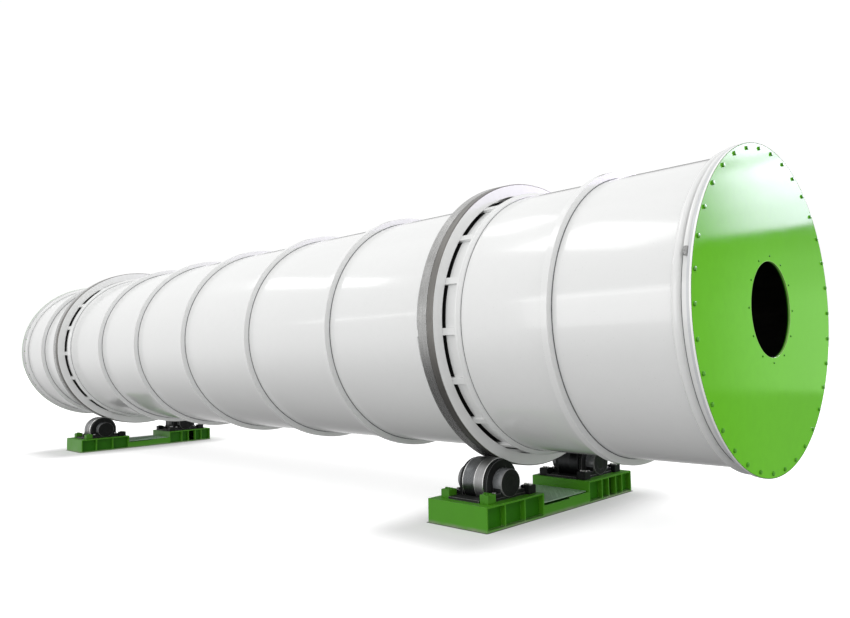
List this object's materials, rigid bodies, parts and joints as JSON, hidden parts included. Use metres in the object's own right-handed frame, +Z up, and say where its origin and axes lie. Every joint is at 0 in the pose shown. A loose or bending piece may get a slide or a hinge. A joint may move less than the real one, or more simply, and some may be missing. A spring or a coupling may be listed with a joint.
{
  "type": "rotary drum dryer",
  "caption": "Long rotary drum dryer: white shell with joint rings and two riding rings, turning on paired support rollers in green base frames, with bolted green end plates.",
  "frame": {"origin": "middle of the bounding box's bottom face: on the floor, under the middle of the drum", "axes": "+Z up; +X along the drum's axis towards the discharge end, whose opening is the smaller one; +Y towards the right-hand rollers as seen from the discharge end"},
  "size_m": [11.73, 2.2496, 2.5771],
  "materials": {
    "white_paint": "glossy white industrial paint",
    "bright_green_paint": "glossy bright green paint",
    "base_green_paint": "semi-gloss green paint",
    "deck_paint": "worn grey-green paint",
    "ring_steel": "machined riding surface, white painted side faces",
    "roller_steel": "machined forged steel",
    "shaft_steel": "ground steel",
    "bearing_steel": "ground bearing steel",
    "slide_steel": "dark greased steel plate",
    "black_paint": "black paint on cast iron",
    "bolt_steel": "dark zinc-plated steel",
    "flight_steel": "bare steel plate"
  },
  "bodies": {
    "supports": {"base_frame_discharge": "base_green_paint", "deck_plate_discharge": "deck_paint", "clamp_blocks_discharge": "base_green_paint", "station_bolts_discharge": "bolt_steel", "end_caps_discharge": "black_paint", "slide_plate_discharge_left": "slide_steel", "housing_front_discharge_left": "black_paint", "housing_back_discharge_left": "black_paint", "bearings_discharge_left": "bearing_steel", "slide_plate_discharge_right": "slide_steel", "housing_front_discharge_right": "black_paint", "housing_back_discharge_right": "black_paint", "bearings_discharge_right": "bearing_steel", "base_frame_feed": "base_green_paint", "deck_plate_feed": "deck_paint", "clamp_blocks_feed": "base_green_paint", "station_bolts_feed": "bolt_steel", "end_caps_feed": "black_paint", "slide_plate_feed_left": "slide_steel", "housing_front_feed_left": "black_paint", "housing_back_feed_left": "black_paint", "bearings_feed_left": "bearing_steel", "slide_plate_feed_right": "slide_steel", "housing_front_feed_right": "black_paint", "housing_back_feed_right": "black_paint", "bearings_feed_right": "bearing_steel"},
    "drum": {"shell_can_1": "white_paint", "shell_can_2": "white_paint", "shell_can_3": "white_paint", "shell_can_4": "white_paint", "shell_can_5": "white_paint", "shell_can_6": "white_paint", "shell_can_7": "white_paint", "shell_can_8": "white_paint", "joint_rings": "white_paint", "discharge_end_ring": "white_paint", "feed_end_ring": "white_paint", "discharge_plate": "bright_green_paint", "feed_plate": "bright_green_paint", "discharge_plate_bolts": "bright_green_paint", "feed_plate_bolts": "bright_green_paint", "opening_collar": "bright_green_paint", "opening_rivets": "bright_green_paint", "hoop_rod": "white_paint", "riding_ring_discharge": "ring_steel", "riding_ring_feed": "ring_steel", "wrapper_discharge": "white_paint", "wrapper_feed": "white_paint", "filler_pads_discharge": "white_paint", "filler_pads_feed": "white_paint", "lifting_flights": "flight_steel", "feed_vanes": "flight_steel"},
    "support_roller_discharge_left": {"roller_discharge_left": "roller_steel", "roller_shaft_discharge_left": "shaft_steel"},
    "support_roller_discharge_right": {"roller_discharge_right": "roller_steel", "roller_shaft_discharge_right": "shaft_steel"},
    "support_roller_feed_left": {"roller_feed_left": "roller_steel", "roller_shaft_feed_left": "shaft_steel"},
    "support_roller_feed_right": {"roller_feed_right": "roller_steel", "roller_shaft_feed_right": "shaft_steel"}
  },
  "joints": [
    {"name": "drum_spin", "type": "hinge", "parent": "supports", "child": "drum", "pos_m": [0, 0, 1.4521], "axis": [1, 0, 0], "continuous": true},
    {"name": "roller_spin_discharge_left", "type": "hinge", "parent": "supports", "child": "support_roller_discharge_left", "pos_m": [3.867, -0.56, 0.284], "axis": [1, 0, 0], "continuous": true},
    {"name": "roller_spin_discharge_right", "type": "hinge", "parent": "supports", "child": "support_roller_discharge_right", "pos_m": [3.867, 0.56, 0.284], "axis": [1, 0, 0], "continuous": true},
    {"name": "roller_spin_feed_left", "type": "hinge", "parent": "supports", "child": "support_roller_feed_left", "pos_m": [-3.968, -0.56, 0.284], "axis": [1, 0, 0], "continuous": true},
    {"name": "roller_spin_feed_right", "type": "hinge", "parent": "supports", "child": "support_roller_feed_right", "pos_m": [-3.968, 0.56, 0.284], "axis": [1, 0, 0], "continuous": true}
  ],
  "couplings": [
    {"joint": "roller_spin_discharge_left", "follows": "drum_spin", "ratio": -6.6176},
    {"joint": "roller_spin_discharge_right", "follows": "drum_spin", "ratio": -6.6176},
    {"joint": "roller_spin_feed_left", "follows": "drum_spin", "ratio": -6.6176},
    {"joint": "roller_spin_feed_right", "follows": "drum_spin", "ratio": -6.6176}
  ]
}
